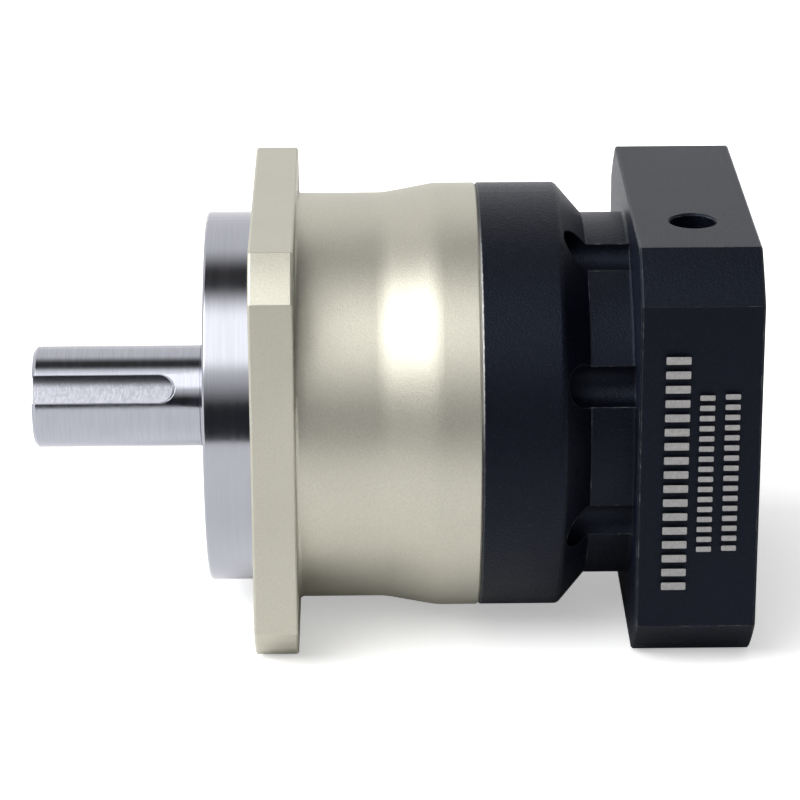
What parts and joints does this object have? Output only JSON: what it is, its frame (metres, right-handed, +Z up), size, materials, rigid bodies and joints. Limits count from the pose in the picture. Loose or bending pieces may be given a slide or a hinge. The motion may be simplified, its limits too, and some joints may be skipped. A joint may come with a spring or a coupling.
{
  "type": "planetary gearbox",
  "caption": "Coaxial single-stage planetary servo gearbox with a keyed output shaft, a round pilot on a square flange, a stepped round body and a square motor adapter with a clamp hub.",
  "frame": {"origin": "on the gearbox axis, in the plane of the output mounting face", "axes": "+X runs along the axis toward the motor side, the output shaft points to -X, +Z is up, +Y completes the right-handed set"},
  "size_m": [0.153, 0.0916, 0.0918],
  "materials": {
    "champagne_housing": "fine bead-blasted champagne anodised aluminium; pilot turned bare",
    "black_adapter": "fine-grained black anodised aluminium, worn bare on the edges",
    "gear_steel": "nitrided, cut gear steel",
    "shaft_steel": "fine-turned and ground steel",
    "bearing_steel": "ground bearing steel",
    "cage_brass": "turned brass",
    "screw_black": "black oxide screw steel",
    "spring_steel": "phosphated spring steel",
    "seal_rubber": "matt nitrile rubber",
    "washer_bronze": "bronze sheet",
    "sun_steel": "case-hardened, ground steel",
    "collar_steel": "phosphated steel"
  },
  "bodies": {
    "housing": {"output_housing": "champagne_housing", "ring_gear": "gear_steel", "motor_adapter": "black_adapter", "housing_o_ring": "seal_rubber", "housing_screws": "screw_black", "front_bearing_outer_ring": "bearing_steel", "rear_bearing_outer_ring": "bearing_steel", "input_bearing_outer_ring": "bearing_steel", "input_bearing_shields": "spring_steel", "front_bearing_circlip": "spring_steel", "input_bearing_circlip": "spring_steel", "output_seal_case": "spring_steel", "output_seal_lip": "seal_rubber", "output_seal_spring": "spring_steel", "input_seal_case": "spring_steel", "input_seal_lip": "seal_rubber", "input_seal_spring": "spring_steel"},
    "carrier": {"carrier_shaft": "shaft_steel", "planet_pins": "bearing_steel", "thrust_washers": "washer_bronze", "front_bearing_inner_ring": "bearing_steel", "rear_bearing_inner_ring": "bearing_steel"},
    "sun": {"sun_shaft": "sun_steel", "clamp_collar": "collar_steel", "clamp_screw": "screw_black", "input_bearing_inner_ring": "bearing_steel", "input_shaft_circlip": "spring_steel"},
    "front_bearing_rolling": {"front_bearing_balls": "bearing_steel", "front_bearing_cage": "cage_brass"},
    "rear_bearing_rolling": {"rear_bearing_balls": "bearing_steel", "rear_bearing_cage": "cage_brass"},
    "input_bearing_rolling": {"input_bearing_balls": "bearing_steel", "input_bearing_cage": "cage_brass"},
    "planet_1": {"planet_gear_1": "gear_steel"},
    "needles_1": {"needle_set_1": "bearing_steel"},
    "planet_2": {"planet_gear_2": "gear_steel"},
    "needles_2": {"needle_set_2": "bearing_steel"},
    "planet_3": {"planet_gear_3": "gear_steel"},
    "needles_3": {"needle_set_3": "bearing_steel"}
  },
  "joints": [
    {"name": "output_shaft_spin", "type": "hinge", "parent": "housing", "child": "carrier", "pos_m": [0, 0, 0], "axis": [1, 0, 0], "continuous": true},
    {"name": "input_shaft_spin", "type": "hinge", "parent": "housing", "child": "sun", "pos_m": [0, 0, 0], "axis": [1, 0, 0], "continuous": true},
    {"name": "front_bearing_spin", "type": "hinge", "parent": "housing", "child": "front_bearing_rolling", "pos_m": [0, 0, 0], "axis": [1, 0, 0], "continuous": true},
    {"name": "rear_bearing_spin", "type": "hinge", "parent": "housing", "child": "rear_bearing_rolling", "pos_m": [0, 0, 0], "axis": [1, 0, 0], "continuous": true},
    {"name": "input_bearing_spin", "type": "hinge", "parent": "housing", "child": "input_bearing_rolling", "pos_m": [0, 0, 0], "axis": [1, 0, 0], "continuous": true},
    {"name": "planet_1_spin", "type": "hinge", "parent": "carrier", "child": "planet_1", "pos_m": [0.035, 0, 0.02025], "axis": [1, 0, 0], "continuous": true},
    {"name": "needles_1_spin", "type": "hinge", "parent": "carrier", "child": "needles_1", "pos_m": [0.035, 0, 0.02025], "axis": [1, 0, 0], "continuous": true},
    {"name": "planet_2_spin", "type": "hinge", "parent": "carrier", "child": "planet_2", "pos_m": [0.035, -0.01754, -0.01013], "axis": [1, 0, 0], "continuous": true},
    {"name": "needles_2_spin", "type": "hinge", "parent": "carrier", "child": "needles_2", "pos_m": [0.035, -0.01754, -0.01013], "axis": [1, 0, 0], "continuous": true},
    {"name": "planet_3_spin", "type": "hinge", "parent": "carrier", "child": "planet_3", "pos_m": [0.035, 0.01754, -0.01013], "axis": [1, 0, 0], "continuous": true},
    {"name": "needles_3_spin", "type": "hinge", "parent": "carrier", "child": "needles_3", "pos_m": [0.035, 0.01754, -0.01013], "axis": [1, 0, 0], "continuous": true}
  ],
  "couplings": [
    {"joint": "input_shaft_spin", "follows": "output_shaft_spin", "ratio": 5},
    {"joint": "front_bearing_spin", "follows": "output_shaft_spin", "ratio": 0.42685},
    {"joint": "rear_bearing_spin", "follows": "output_shaft_spin", "ratio": 0.45139},
    {"joint": "input_bearing_spin", "follows": "output_shaft_spin", "ratio": 2.0824},
    {"joint": "planet_1_spin", "follows": "output_shaft_spin", "ratio": -2.6667},
    {"joint": "needles_1_spin", "follows": "output_shaft_spin", "ratio": -1.5758},
    {"joint": "planet_2_spin", "follows": "output_shaft_spin", "ratio": -2.6667},
    {"joint": "needles_2_spin", "follows": "output_shaft_spin", "ratio": -1.5758},
    {"joint": "planet_3_spin", "follows": "output_shaft_spin", "ratio": -2.6667},
    {"joint": "needles_3_spin", "follows": "output_shaft_spin", "ratio": -1.5758}
  ]
}
